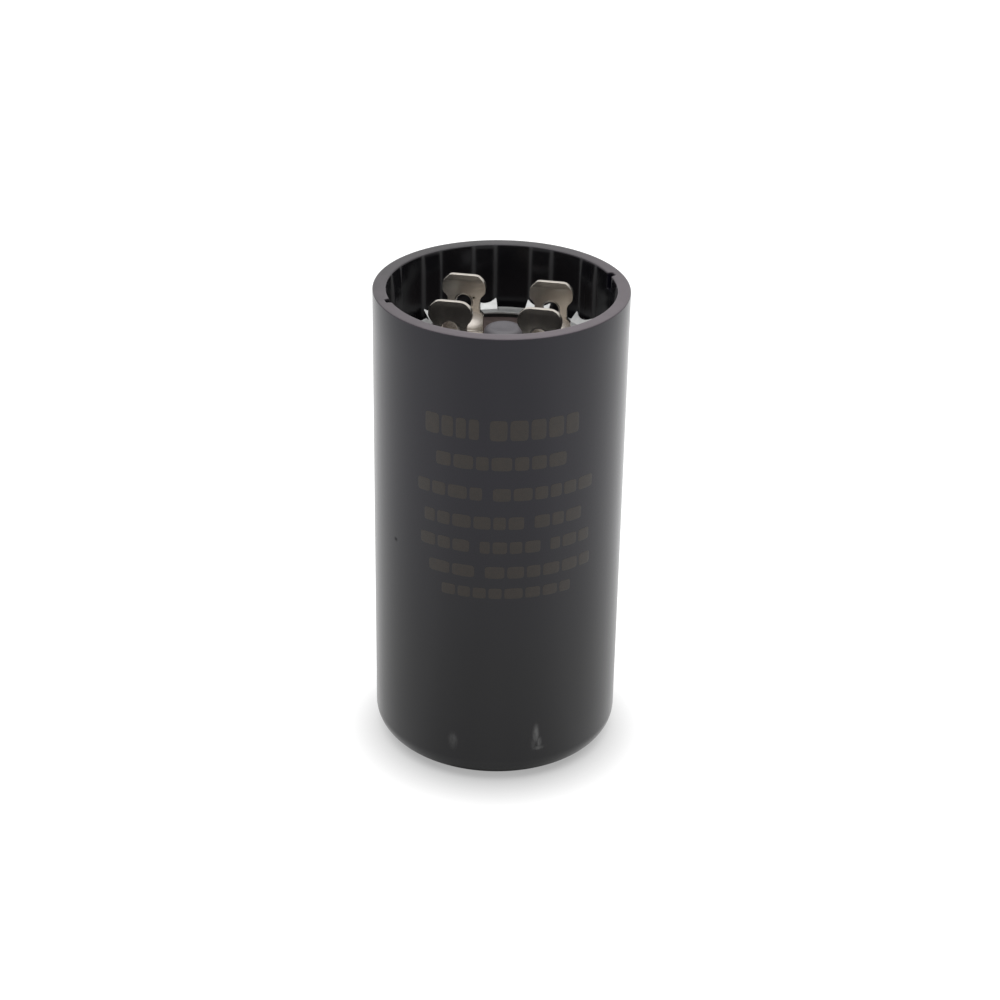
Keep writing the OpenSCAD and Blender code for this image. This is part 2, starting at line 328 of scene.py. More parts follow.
def wall_spot(tree, turn, height, wide, tall):
    """A spot on the case's outer wall."""
    turn = np.radians(turn)
    middle = (case_r * np.cos(turn), case_r * np.sin(turn), height)
    return spot(tree, middle, (wide, wide, tall))


PALE_MARKS = [  # angle and height on the wall, half width, half height, strength
    (-99.5, 6.3, 0.95, 1.9, 0.4), (-60.4, 7.7, 0.7, 2.2, 1.0), (-58.5, 6.1, 0.5, 1.3, 0.8),
    (-61.6, 6.0, 0.5, 1.4, 0.35), (-59.0, 5.15, 1.1, 0.5, 0.7),
]
SPECK = (-133.2, 36.6, 0.55, 0.48)  # the same, without a strength
# Painted sheen on the rim: its direction, its least and most, and the size and spread of its
# patches
SHEEN_WAY, SHEEN_LEAST, SHEEN_MOST = (0.57, -0.82, 0), 0.06, 0.94
SHEEN_PATCH, SHEEN_SPREAD = 2.6, 0.1


def pale_marks(tree):
    """A faint upright pale mark, and a drop-shaped one of four spots: a top, two legs and a foot.
    """
    marked = 0.0
    for *place, level in PALE_MARKS:
        marked = calc(tree, "MAXIMUM", marked, calc(tree, "MULTIPLY", wall_spot(tree, *place), level))
    return calc(tree, "MULTIPLY", marked, between(tree, grain(tree, 0.5, (1, 1, 3)), 0.4, 1.0))


def painted_rim_sheen(tree):
    """Painted sheen on the rim: least at the back left, most at the front right, in patches."""
    towards = vector(tree, "DOT_PRODUCT", place_of(tree), SHEEN_WAY)["Value"]
    even = between(tree, towards, SHEEN_LEAST, SHEEN_MOST, -case_r * MM, case_r * MM)
    return calc(
        tree, "ADD", even, between(tree, grain(tree, SHEEN_PATCH), -SHEEN_SPREAD, SHEEN_SPREAD)
    )


# %% Make the case's finish
PLAIN_BLACK = [(0.0063, 0.0063, 0.0062), (0.0089, 0.0089, 0.0087)]
BLUE_BLACK = [(0.0056, 0.0048, 0.0108), (0.0082, 0.0073, 0.0134)]
PLAIN_END, BLUE_START = 18.0, 48.0  # heights between which one black turns into the other
WELL_BLACK, PALE_MARK_GREY = (0.01, 0.0097, 0.0115), (0.165, 0.165, 0.163)
# the rim's two colours, between which its painted sheen runs
RIM_DARK, RIM_PALE = (0.014, 0.0135, 0.014), (0.125, 0.102, 0.116)
# painted highlight on the sides of the ribs, in a paler grey
FLANK_HIGHLIGHT_GREY = (0.08, 0.08, 0.083)
OUTSIDE_ROUGH, WELL_SMOOTHER, FLANK_ROUGH, RIM_ROUGH = (0.2, 0.26), 0.05, 0.65, 0.34
SKIN_SIZE, SKIN_DEPTH = 0.35, 0.0015
PLASTIC_IOR, GLEAM_TINT = 1.44, (0.97, 0.965, 1, 1)
GLEAM, WELL_GLEAM, SPECK_GLEAM = 0.5, 0.25, 0.25


def case_finish():
    """Black plastic: mottled gloss, dull rib sides with a painted highlight, a painted rim sheen,
    two pale marks and a dull speck.
    """
    material, tree, shader = new_finish("black_moulded_plastic")
    flank, rim, well = mark(tree, "flank"), mark(tree, "rim"), mark(tree, "well")
    cloud = between(tree, grain(tree, 9, (1, 1, 3)), 0.0, 1.0)
    height = add(tree, "ShaderNodeSeparateXYZ", Vector=place_of(tree)).outputs["Z"]
    upper = between(tree, height, 0.0, 1.0, PLAIN_END * MM, BLUE_START * MM)
    colour = tint(tree, upper, tint(tree, cloud, *PLAIN_BLACK), tint(tree, cloud, *BLUE_BLACK))
    colour = tint(tree, well, colour, WELL_BLACK)
    colour = tint(tree, pale_marks(tree), colour, PALE_MARK_GREY)
    colour = tint(tree, rim, colour, tint(tree, painted_rim_sheen(tree), RIM_DARK, RIM_PALE))
    colour = tint(tree, flank, colour, FLANK_HIGHLIGHT_GREY)
    tree.links.new(colour, shader.inputs["Base Color"])
    outside = between(tree, grain(tree, 14, (1, 1, 4)), *OUTSIDE_ROUGH)
    gloss = calc(tree, "SUBTRACT", outside, calc(tree, "MULTIPLY", well, WELL_SMOOTHER))
    dull_flank = calc(tree, "MULTIPLY", flank, FLANK_ROUGH)
    dull = calc(tree, "MAXIMUM", dull_flank, calc(tree, "MULTIPLY", rim, RIM_ROUGH))
    tree.links.new(calc(tree, "MAXIMUM", gloss, dull), shader.inputs["Roughness"])
    skin = add(
        tree, "ShaderNodeBump", Height=grain(tree, SKIN_SIZE, detail=2.0),
        Distance=SKIN_DEPTH * MM, Strength=0.5,
    )
    tree.links.new(skin.outputs[0], shader.inputs["Normal"])
    shader.inputs["IOR"].default_value = PLASTIC_IOR
    shader.inputs["Specular Tint"].default_value = GLEAM_TINT
    gleam = between(tree, well, GLEAM, WELL_GLEAM, 0.0, 1.0)
    clean = between(tree, wall_spot(tree, *SPECK), 1.0, SPECK_GLEAM, 0.0, 1.0)
    tree.links.new(calc(tree, "MULTIPLY", gleam, clean), shader.inputs["Specular IOR Level"])
    return material


plastic = case_finish()
print("finish:", plastic.name)

# %% [markdown]
# ## Case
# The moulded cup is one profile carried round the axis: the foot, the wall, the rim, the well, the
# ledge and the chamber inside. In the well the radius also depends on the angle, because twelve
# low ribs stand on the wall and two notches cut the rim. A lathe could not do that, but a grid can:
# the radius is simply a function of the angle and the height. Columns are packed where the ribs
# and notches bend.

# %% Work out the ribs and notches
WALL, LEDGE_W, FOOT_R, RIM_EDGE, RIM_CHAMFER = 1.95, 0.9, 3.4, 0.2, 0.25
RIB_COUNT, RIB_DEPTH, RIB_CROWN, RIB_FLANK, RIB_TURN = 12, 0.35, 2.8, 0.5, 19.3
RIB_START, RIB_LEAD, RIB_SOFT, LEAD_SOFT, GROOVE_DROP = 0.05, 2.6, 0.1, 0.15, 0.3
NOTCH_TURN, NOTCH_W, NOTCH_DEPTH, NOTCH_L, NOTCH_SOFT = 29.5, 1.3, 0.75, 2.5, 0.2
bore_r = case_r - WALL
crown_r = bore_r - RIB_DEPTH
chamber_r = crown_r - LEDGE_W
groove_end = seal_top - GROOVE_DROP


def soft_ramp(x, softness):
    """A ramp from 0 to 1 as x goes from 0 to 1, with its two bends rounded."""
    return (np.hypot(x, softness) - np.hypot(x - 1, softness) + 1) / 2


def wrapped(angle):
    """Angles in degrees brought into the range from -180 to 180."""
    return (angle + 180) % 360 - 180


pitch = 360 / RIB_COUNT
half_pitch = np.radians(pitch / 2) * bore_r
flank_middle = (RIB_CROWN + RIB_FLANK) / 2
steps = np.concatenate([
    np.linspace(0, flank_middle - 0.75, 4), flank_middle + np.linspace(-0.6, 0.6, 17),
    np.linspace(flank_middle + 0.8, half_pitch, 6),
])
one_rib = np.degrees(np.concatenate([-steps[:0:-1], steps[:-1]]) / bore_r)
rib_turns = RIB_TURN + pitch * np.arange(RIB_COUNT)
notch_steps = np.degrees((NOTCH_W / 2 + np.linspace(-0.3, 0.3, 9)) / bore_r)
notch_turns = NOTCH_TURN + np.array([0, 180])
columns = np.concatenate([
    (rib_turns[:, None] + one_rib).ravel(),
    (notch_turns[:, None] + np.concatenate([-notch_steps, notch_steps])).ravel(),
])
columns = np.unique(np.round(columns % 360, 4))
from_rib = wrapped((columns - RIB_TURN + pitch / 2) % pitch - pitch / 2)
aside = np.abs(np.radians(from_rib)) * bore_r
rib = RIB_DEPTH * soft_ramp((RIB_CROWN / 2 + RIB_FLANK - aside) / RIB_FLANK, RIB_SOFT)
off_notch = np.radians(np.abs(wrapped(columns[:, None] - notch_turns)).min(1)) * bore_r
notch = soft_ramp((NOTCH_W / 2 - off_notch) / NOTCH_SOFT + 0.5, NOTCH_SOFT)
print(f"{len(columns)} columns, {RIB_COUNT} ribs, {len(notch_turns)} notches")

# %% Carry the case's profile round
def outside_profile():
    """From the gate mark under the foot, round the foot and up the wall to the rim's edge."""
    gate = [
        [0, 0.12], [0.45, 0.12], [0.55, 0.26], [1.5, 0.26], [1.65, 0.2], [1.75, 0.06], [1.9, 0]
    ]
    levels = np.linspace(FOOT_R, case_h - RIM_EDGE, 14)[1:-1]
    return np.concatenate([
        gate, [[6, 0], [11, 0]], arc((case_r - FOOT_R, FOOT_R), FOOT_R, -90, 0, 17),
        np.stack([np.full(len(levels), case_r), levels], 1),
        arc((case_r - RIM_EDGE, case_h - RIM_EDGE), RIM_EDGE, 0, 90, 6),
    ])


def inside_profile():
    """From the bore for the header down past its ledge to the middle of the chamber's floor."""
    return np.concatenate([
        [[crown_r, groove_end], [crown_r, header_bottom + 2], [crown_r, header_bottom]],
        [[chamber_r, header_bottom], [chamber_r, winding_bottom + 20]],
        [[chamber_r, winding_bottom]],
        arc((pad_r, winding_bottom), chamber_r - pad_r, 0, -90, 6)[1:],
        [[chamber_r / 2, floor_top], [0, floor_top]],
    ])


def rim_and_well():
    """The flat of the rim, its rounded inner edge, and the wall of the well with the ribs' ramps:
    the wall is the bore less a rib's height, or the bottom of a notch above the notch's end."""
    flat, bend = np.array([0.25, 0.5, 0.75]), np.radians(np.linspace(0, 90, 6))
    edge_r = (bore_r + RIM_CHAMFER + notch * NOTCH_DEPTH)[:, None]
    depth = np.concatenate([
        np.linspace(RIM_CHAMFER, NOTCH_L - 0.2, 9)[1:],
        NOTCH_L + np.array([-0.12, -0.04, 0.04, 0.12]),
        np.linspace(NOTCH_L + 0.3, case_h - groove_end, 9),
    ])
    share = RIB_START / RIB_DEPTH
    height_share = share + (1 - share) * soft_ramp((depth - RIM_CHAMFER) / RIB_LEAD, LEAD_SOFT)
    rib_height = rib[:, None] * height_share
    cut = notch[:, None] * (depth < NOTCH_L)
    wall_r = bore_r - rib_height + cut * (NOTCH_DEPTH + rib_height)
    flat_r = (case_r - RIM_EDGE) * (1 - flat) + edge_r * flat
    radius = [flat_r, edge_r - RIM_CHAMFER * np.sin(bend), wall_r]
    bend_height = case_h - RIM_CHAMFER * (1 - np.cos(bend))
    height = [np.full(len(flat), case_h), bend_height, case_h - depth]
    return np.concatenate(radius, 1), np.concatenate(height)


def case_grid():
    """Radius and height of each station for each column, from under the foot to the floor."""
    outside, inside = outside_profile(), inside_profile()
    top_radius, top_height = rim_and_well()
    count = (len(columns), 1)
    radius = [np.tile(outside[:, 0], count), top_radius, np.tile(inside[:, 0], count)]
    height = np.concatenate([outside[:, 1], top_height, inside[:, 1]])
    return np.concatenate(radius, 1), np.tile(height, count)


# This reach also holds for the painted highlight on a rib's side.
FLANK_GLOW = 0.3  # how far the dull finish of a rib's side reaches
case_radius, case_height = case_grid()
angle = np.radians(columns)[:, None]
case_points = np.stack(
    [case_radius * np.cos(angle), case_radius * np.sin(angle), case_height], -1
)
in_well = (case_radius < bore_r + 0.02) & (case_height > header_bottom)
flank_width = np.exp(-(((aside - flank_middle) / FLANK_GLOW) ** 2))[:, None]
fade = np.where(case_radius > case_r - RIM_EDGE, RIM_EDGE, RIM_CHAMFER + 0.05)
on_top = np.clip((case_height - case_h) / fade + 1, 0, 1)
build(
    "moulded_case", [(case_points, True)], plastic, ["case"],
    marks={
        "flank": flank_width * (in_well & (case_height > groove_end)), "well": in_well,
        "rim": on_top,
    },
)

# %% [markdown]
# ## Header, seal and plug
# The well ends in a brown laminate header. A rubber seal runs round its edge, and a grey rubber
# plug beside its middle lets gas out if the roll fails. The seal and the plug are turned profiles
# with the round edges that rubber has, and the plug's top is slightly dished.

# %% Make the header's finish and its rubber pieces
laminate = mottled(
    "brown_laminate", [(0.053, 0.038, 0.035), (0.088, 0.066, 0.062)], 0.5, (0.36, 0.5), 0.12, 0.01,
    stretch=(3, 1, 1),
)
black_rubber = mottled(
    "black_rubber", [(0.006, 0.006, 0.006), (0.012, 0.012, 0.012)], 0.8, (0.5, 0.65), 0.15, 0.01
)
grey_rubber = mottled(
    "grey_rubber", [(0.095, 0.09, 0.1), (0.115, 0.109, 0.12)], 1.2, (0.42, 0.55), 0.12, 0.006
)
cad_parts["header"].data.materials.clear()
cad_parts["header"].data.materials.append(laminate)

SEAL_W, SEAL_EDGE, FIT_GAP = 2.4, 0.3, 0.03
seal_in_r = header_r - SEAL_W + FIT_GAP
seal_profile = np.concatenate([
    [[seal_in_r, seal_bottom], [header_r, seal_bottom]],
    arc((header_r - SEAL_EDGE, seal_top - SEAL_EDGE), SEAL_EDGE, 0, 90),
    arc((seal_in_r + SEAL_EDGE, seal_top - SEAL_EDGE), SEAL_EDGE, 90, 180),
    [[seal_in_r, seal_bottom]],
])
build(
    "header_seal_ring", [turned(seal_profile, 144)], black_rubber, ["header_seal"]
)

PLUG_EDGE, PLUG_DISH, STEM_R, LIP_R, LIP_H = 1.0, 0.18, 2.0, 2.3, 0.8
dish = np.linspace(0, 1, 6)[:-1]
plug_profile = np.concatenate([
    np.stack([(plug_r - PLUG_EDGE) * dish, plug_top - PLUG_DISH * (1 - dish**2) ** 2], 1),
    arc((plug_r - PLUG_EDGE, plug_top - PLUG_EDGE), PLUG_EDGE, 90, 0, 13),
    [[plug_r, header_top + 0.25], [plug_r - 0.06, header_top + 0.08], [plug_r - 0.2, header_top]],
    [[STEM_R, header_top], [STEM_R, stem_bottom + LIP_H], [LIP_R, stem_bottom + LIP_H]],
    [[LIP_R, stem_bottom + 0.25], [LIP_R - 0.3, stem_bottom], [0, stem_bottom]],
])
build(
    "vent_plug_rubber", [turned(plug_profile, 96, (plug_x, 0))], grey_rubber,
    ["vent_plug"],
)

# %% [markdown]
# ## Lock ring
# A ring of spring steel is pressed into the well and holds the header down. Its teeth are cut free
# by slits, stand up and grip the wall with two points each. The ring is worked out as a sheet in
# three kinds of patch, a band, a land and a tooth, which curls up a little towards its outer edge,
# and Solidify gives it the sheet's thickness.

# %% Work out the lock ring
RING_T, RING_EDGE, RING_LIP, RING_GAP, RING_CURL = 0.25, 0.03, 0.15, 0.8, 0.15
TOOTH_W, TOOTH_TILT, TOOTH_BEND, TOOTH_ROUND = 3.6, np.radians(42), 0.35, 0.15
TAIL_DEPTH, TAIL_SHOULDER, BITE_GAP, SLIT_W, SLIT_DEPTH = 0.75, 0.15, 0.05, 0.12, 0.75
ring_in_r = header_r - SEAL_W - RING_LIP
ring_out_r = crown_r - RING_GAP
root_x = ring_out_r - SLIT_DEPTH
slit_half = TOOTH_W / 2 + SLIT_W
slit_angle = np.arctan2(slit_half, root_x)
tooth_y = TOOTH_W / 2 * np.sin(np.linspace(-np.pi / 2, np.pi / 2, 19))


def curl(radius):
    """Height of the ring's middle: level at first, rising with the fourth power of the way out."""
    share = (radius - ring_in_r) / (ring_out_r - ring_in_r)
    return seal_top + RING_T / 2 + RING_CURL * share**4


def ring_points(x, y, z):
    """Copies a patch in the frame of one tooth to the places of all the teeth."""
    turn = np.radians(rib_turns)[:, None, None]
    around_x, around_y = x * np.cos(turn) - y * np.sin(turn), x * np.sin(turn) + y * np.cos(turn)
    patches = zip(around_x, around_y, np.broadcast_to(z, around_x.shape))
    return [(np.stack(patch, -1), False) for patch in patches]


def band_patch():
    """From the ring's inner edge out to the straight roots of the teeth and the lands' feet."""
    land = np.linspace(slit_angle, np.radians(pitch) - slit_angle, 9)
    turn = np.concatenate([[-slit_angle], np.arctan2(tooth_y, root_x), land])[:, None]
    near = np.minimum(np.abs(turn), np.abs(np.radians(pitch) - turn))
    outer = root_x / np.cos(np.minimum(near, slit_angle))
    radius = ring_in_r + (outer - ring_in_r) * np.linspace(0, 1, 5)
    return radius * np.cos(turn), radius * np.sin(turn), curl(radius)


def land_patch():
    """Between two slits, from the band out to the ring's outer edge."""
    share = np.linspace(0, 1, 9)[:, None]
    radius = np.linspace(root_x / np.cos(slit_angle), ring_out_r, 6)
    start = np.arcsin(slit_half / radius)
    turn = start + share * (np.radians(pitch) - 2 * start)
    return radius * np.cos(turn), radius * np.sin(turn), curl(radius)


def tooth_patch():
    """A strip that bends up from its root, with a hollow circle cut from its end."""
    width = ring_out_r - ring_in_r
    start = np.arctan(4 * RING_CURL * (root_x - ring_in_r) ** 3 / width**4)
    bend_x = TOOTH_BEND * (np.sin(TOOTH_TILT) - np.sin(start))
    reach = (crown_r - BITE_GAP - root_x - bend_x) / np.cos(TOOTH_TILT)
    bend_l = TOOTH_BEND * (TOOTH_TILT - start)
    tail_half = TOOTH_W / 2 - TAIL_SHOULDER
    tail_r = (tail_half**2 + TAIL_DEPTH**2) / (2 * TAIL_DEPTH)
    y = tooth_y[:, None]
    hollow = tail_r - np.sqrt(tail_r**2 - np.minimum(np.abs(y), tail_half) ** 2)
    near_side = np.maximum(np.abs(y) - TOOTH_W / 2 + TOOTH_ROUND, 0)
    round_off = TOOTH_ROUND - np.sqrt(TOOTH_ROUND**2 - near_side**2)
    end = bend_l + reach - TAIL_DEPTH + hollow - round_off
    along = end * np.concatenate([np.linspace(0, 0.2, 5), [0.5, 0.75, 1]])
    turn = np.minimum(start + along / TOOTH_BEND, TOOTH_TILT)
    straight = np.maximum(along - bend_l, 0)
    x = root_x + TOOTH_BEND * (np.sin(turn) - np.sin(start)) + straight * np.cos(TOOTH_TILT)
    z = TOOTH_BEND * (np.cos(start) - np.cos(turn)) + straight * np.sin(TOOTH_TILT)
    return x, np.broadcast_to(y, x.shape), curl(np.hypot(root_x, y)) + z


# %% Make the lock ring
plated_steel = mottled(
    "plated_steel", [(0.46, 0.465, 0.46), (0.545, 0.55, 0.545)], 0.8, (0.5, 0.62), 0.1, 0.004,
    metal=1.0,
)
ring_grids = ring_points(*band_patch()) + ring_points(*land_patch()) + ring_points(*tooth_patch())
build(
    "lock_ring_steel", ring_grids, plated_steel, ["lock_ring"], sheet=RING_T,
    edge=RING_EDGE,
)

# %% [markdown]
# ## Terminals
# Each terminal is one strip of tinned brass, folded into a U with a tab at each end. It is worked
# out flat, as the stamped blank: a grid for each bevelled tip, a patch round each hole, and a grid
# for each bend. Then every point is moved along the fold. The front tabs have rounder shoulders
# than the back ones. The punch left a low lip around the tabs' holes, so the sheet is drawn as
# thick as the lip and made thinner everywhere else.

# %% Work out the folded strip
TAB_T, TAB_PITCH, TAB_EDGE, BEND_R, HOLE_LIP = 0.8, 10.0, 0.09, 0.5, 0.07
TIP_H, TIP_BEVEL, TIP_ROW = 0.85, 0.1, 0.08
FRONT_ROUND, BACK_ROUND = (1.9, 0.45), (0.9, 0.2)  # arc at the top, reach of the averaging
HOLE_R, HOLE_DROP, RIVET_HOLE_R = 1.15, 4.1, 1.53
# Half the width of the blank at distances from the tab's top
BLANK_AT = np.array([-1.1, 0.75, 1.0, 1.3, 1.6, 2.6, 3.5, 5.5, 5.95, 7.6])
BLANK_HALF = np.array([0.95, 2.8, 2.99, 3.12, 3.15, 3.15, 2.35, 2.35, 2.9, 2.9])
BASE_HALF, SIDE_STEP = 3.2, 0.15
LIP_RINGS, FAR_SHARES = np.array([0, 0.1, 0.22, 0.26]), np.array([0.4, 0.75, 1])
COLUMNS = np.linspace(-1, 1, 13)
tab_top = span("terminal_left")[1][2]
terminal_x = span("terminal_right")[0][0] + BLANK_HALF.max()
fold_r = BEND_R + TAB_T / 2
base_z = header_top + TAB_T / 2
leg_l = tab_top - base_z - fold_r
base_l = TAB_PITCH - 2 * fold_r
strip_l = 2 * leg_l + np.pi * fold_r + base_l
lip_t = TAB_T + 2 * HOLE_LIP
tip_end = TIP_H + TIP_ROW


def folded(x, s):
    """Moves points of the flat blank along the U: down a leg, round a bend, along and up again."""
    half = np.minimum(s, strip_l - s)
    turn = np.clip((half - leg_l) / fold_r, 0, np.pi / 2)
    along = np.maximum(half - leg_l - fold_r * np.pi / 2, 0)
    y = -TAB_PITCH / 2 + fold_r * (1 - np.cos(turn)) + along
    z = np.where(half < leg_l, tab_top - half, base_z + fold_r * (1 - np.sin(turn)))
    return np.stack([x, np.where(s > strip_l / 2, -y, y), z], -1)


def half_width(s, ends):
    """Half the width of the blank at a distance from the tab's top: straight lines whose corners
    are averaged over a short stretch, and an arc where the top turns into the corner."""
    s, (tip_round, reach) = np.asarray(s, float), ends
    near = s[..., None] + np.linspace(-reach, reach, 9)
    sides = np.interp(near, BLANK_AT, BLANK_HALF).mean(-1)
    arc_end = tip_round * (1 - np.sqrt(0.5))
    flat = np.interp(0, BLANK_AT, BLANK_HALF) - tip_round * (np.sqrt(2) - 1)
    within = np.clip(s, 0, arc_end)
    top = flat + np.sqrt(2 * tip_round * within - within**2)
    return np.where(s < arc_end, top, sides)


def tip_patch(ends):
    """The bevelled end of a tab: columns that follow the chamfered outline."""
    s = np.array([0, 0.11, 0.24, 0.42, 0.62, TIP_H, tip_end])[:, None]
    return COLUMNS * half_width(s, ends), s + 0 * COLUMNS


def holed_patch(outline, centre, radius):
    """Straight lines from a round hole, across the lip around it, to each point of an outline."""
    out = outline - centre
    far = np.linalg.norm(out, axis=1)[:, None]
    lip = np.tile(radius + LIP_RINGS, (len(out), 1))
    reach = np.concatenate([lip, lip[:, -1:] + (far - lip[:, -1:]) * FAR_SHARES], 1)
    grid = centre + (out / far)[:, None] * reach[..., None]
    return grid[..., 0], grid[..., 1]


def blank_outline(start, end, inner, ends):
    """A closed loop round the blank between two stations, by way of the inner stations."""
    sides = np.concatenate([inner, np.linspace(inner[-1], end, 5)[1:-1]])
    top = np.stack([COLUMNS * half_width(start, ends), np.full(len(COLUMNS), start)], 1)
    low = np.stack([COLUMNS[::-1] * half_width(end, ends), np.full(len(COLUMNS), end)], 1)
    right = np.stack([half_width(sides, ends), sides], 1)
    return np.concatenate([top, right, low, (right * [-1, 1])[::-1]])


# %% Join the patches of a terminal
def terminal_grids(side):
    """All patches of one terminal, with the share of the lip's thickness at each point."""
    leg_end, middle = BLANK_AT[-1], strip_l / 2
    tab_sides = np.arange(tip_end + SIDE_STEP, leg_end - 1, SIDE_STEP)
    base_start = middle - BASE_HALF
    base_sides = np.linspace(base_start + 0.4, middle, 8)
    base_outline = blank_outline(base_start, strip_l - base_start, base_sides, BACK_ROUND)
    base = holed_patch(base_outline, np.array([0, middle]), RIVET_HOLE_R)
    fold = np.linspace(leg_l, leg_l + fold_r * np.pi / 2, 9)
    s = np.concatenate([[leg_end], fold, [base_start]])[:, None]
    bend = (COLUMNS * BLANK_HALF[-1] + 0 * s, s + 0 * COLUMNS)
    patches = [(*base, True, 0)]
    for ends in (FRONT_ROUND, BACK_ROUND):
        outline = blank_outline(tip_end, leg_end, tab_sides, ends)
        tab = holed_patch(outline, np.array([0, HOLE_DROP]), HOLE_R)
        for (x, s), wrap, lip in ((tip_patch(ends), False, 0), (tab, True, 2), (bend, False, 0)):
            station = s if ends is FRONT_ROUND else strip_l - s
            patches.append((x, station, wrap, lip))
    grids, thickness = [], []
    for x, station, wrap, lip in patches:
        points = folded(x, station)
        points[..., 0] += side * terminal_x
        grids.append((points, wrap))
        near = np.minimum(station, strip_l - station)
        full = TAB_T - 2 * TIP_BEVEL * np.clip(1 - near / TIP_H, 0, 1)
        full[:, :lip] = lip_t
        thickness.append(np.round(full / lip_t, 4).ravel())
    return grids, np.concatenate(thickness)


# %% [markdown]
# The tin is a slightly warm grey with fine rolling lines along the strip. Those lines lie in its
# roughness, and one tab has a small dark pit. The rivets are plain aluminium, each a turned profile
# with a dimple in its head.

# %% Make the terminals
PIT_PLACE, PIT_SIZE = (-4.88, TAB_PITCH / 2 - TAB_T / 2, 67.45), (0.28, 0.3, 0.3)
PIT_COLOUR = (0.03, 0.027, 0.022)


def tin_finish():
    """Tinned brass: rolling lines in the roughness, soft smudges and one small pit."""
    material = mottled(
        "tinned_brass", [(0.5, 0.463, 0.417), (0.572, 0.534, 0.482)], 1.1, (0.21, 0.26), 0.16, 0,
        stretch=(1, 1, 5), metal=0.93,
    )
    tree, shader = material.node_tree, material.node_tree.nodes["Principled BSDF"]
    colour = shader.inputs["Base Color"].links[0].from_socket
    pit = spot(tree, PIT_PLACE, PIT_SIZE)
    tree.links.new(tint(tree, pit, colour, PIT_COLOUR), shader.inputs["Base Color"])
    return material


tinned_brass = tin_finish()
for name, side in (("left", -1), ("right", 1)):
    grids, thickness = terminal_grids(side)
    build(
        f"terminal_strip_{name}", grids, tinned_brass, [f"terminal_{name}"],
        sheet=lip_t, edge=TAB_EDGE, marks={"thickness": thickness},
    )

# %% Make the rivets
aluminium = mottled(
    "bright_aluminium", [(0.68, 0.68, 0.7), (0.8, 0.8, 0.81)], 0.7, (0.25, 0.42), 0.1, 0.004,
    metal=1.0,
)
RIVET_R, HEAD_R, HEAD_H = 1.5, 2.4, 0.9
rivet_bottom, rivet_top = span("rivet_left")[0][2], span("rivet_left")[1][2]
head_low, foot_top = rivet_top - HEAD_H, rivet_bottom + HEAD_H
dome_r = (HEAD_R**2 + HEAD_H**2) / (2 * HEAD_H)
dome_end = np.degrees(np.arccos((HEAD_R - 0.08) / dome_r))
rivet_profile = np.concatenate([
    [[0, rivet_top - 0.22], [0.5, rivet_top - 0.2], [0.75, rivet_top - 0.1]],
    arc((0, rivet_top - dome_r), dome_r, 76, dome_end, 10),
    [[HEAD_R, head_low + 0.06], [HEAD_R - 0.04, head_low], [RIVET_R, head_low]],
    [[RIVET_R, foot_top], [HEAD_R - 0.1, foot_top], [HEAD_R, foot_top - 0.1]],
    [[HEAD_R, rivet_bottom + 0.1], [HEAD_R - 0.1, rivet_bottom], [0, rivet_bottom]],
])
for name, side in (("left", -1), ("right", 1)):
    build(
        f"rivet_{name}_headed", [turned(rivet_profile, 72, (side * terminal_x, 0))], aluminium,
        [f"rivet_{name}"],
    )

# %% [markdown]
# ## Print
# The case carries a few rows of dull gold ink. Here the rows are plain rounded bars of that ink:
# fields of colour that say nothing. Each bar is a rounded rectangle whose points are wrapped round
# the wall, a hundredth of a millimetre thick.

# %% Make the rows of bars
gold_ink = mottled(
    "dull_gold_ink", [(0.0125, 0.007, 0.003), (0.0215, 0.0125, 0.0065)], 0.7, (0.26, 0.34), 0.15,
    0.002,
)
INK_T, BAR_GAP, GROUP_GAP, BAR_SQUARE = 0.012, 0.38, 1.5, 0.35
ROWS = [  # height of the row and of its bars, its first and last angle, bars in each group
    (57.7, 3.1, -114, -43, (4, 5)), (52.6, 2.1, -108.5, -49, (7,)), (47.8, 2.0, -118, -34, (4, 6)),
    (43.3, 2.0, -114.5, -40, (6, 3)), (39.4, 1.9, -116.5, -35, (3, 4, 3)),
    (35.4, 1.9, -112, -34, (2, 6)), (32.0, 1.7, -105.5, -45, (8,)),
]


def bar_outline(wide, tall, count=28):
    """A rounded rectangle as a superellipse: a circle whose corners are pushed out."""
    turn = np.linspace(0, 2 * np.pi, count, endpoint=False)
    across, up = [np.sign(c) * np.abs(c) ** BAR_SQUARE for c in (np.cos(turn), np.sin(turn))]
    return wide / 2 * across, tall / 2 * up


def row_bars(height, tall, start, end, groups, seed):
    """The bars of one row: random widths that fill the row, with wider gaps between its groups."""
    gaps = np.full(sum(groups), BAR_GAP)
    gaps[np.cumsum(groups) - 1] = GROUP_GAP
    gaps[-1] = 0
    widths = np.random.default_rng(seed).uniform(0.7, 1.3, len(gaps))
    length = np.radians(end - start) * case_r
    widths *= (length - gaps.sum()) / widths.sum()
    lefts = np.concatenate([[0], np.cumsum(widths + gaps)[:-1]])
    share = np.array([0, 0.6, 0.96, 1, 1, 0])
    radius = case_r + INK_T * np.array([1, 1, 1, 0.6, -1, -1])
    bars = []
    for left, wide in zip(lefts, widths):
        across, up = bar_outline(wide, tall)
        turn = np.radians(start) + (left + wide / 2 + across[:, None] * share) / case_r
        high = height + up[:, None] * share
        bars.append((np.stack([radius * np.cos(turn), radius * np.sin(turn), high], -1), True))
    return bars


print_grids = [bar for seed, row in enumerate(ROWS) for bar in row_bars(*row, seed)]
build("plain_print", print_grids, gold_ink)

# %% [markdown]
# ## Inside
# The roll, its tape, the pad, the strips and the washers are sealed inside the case. Their packed
# solids keep their shape and get a finish each, with the grain of paper, fibre, foil or zinc.

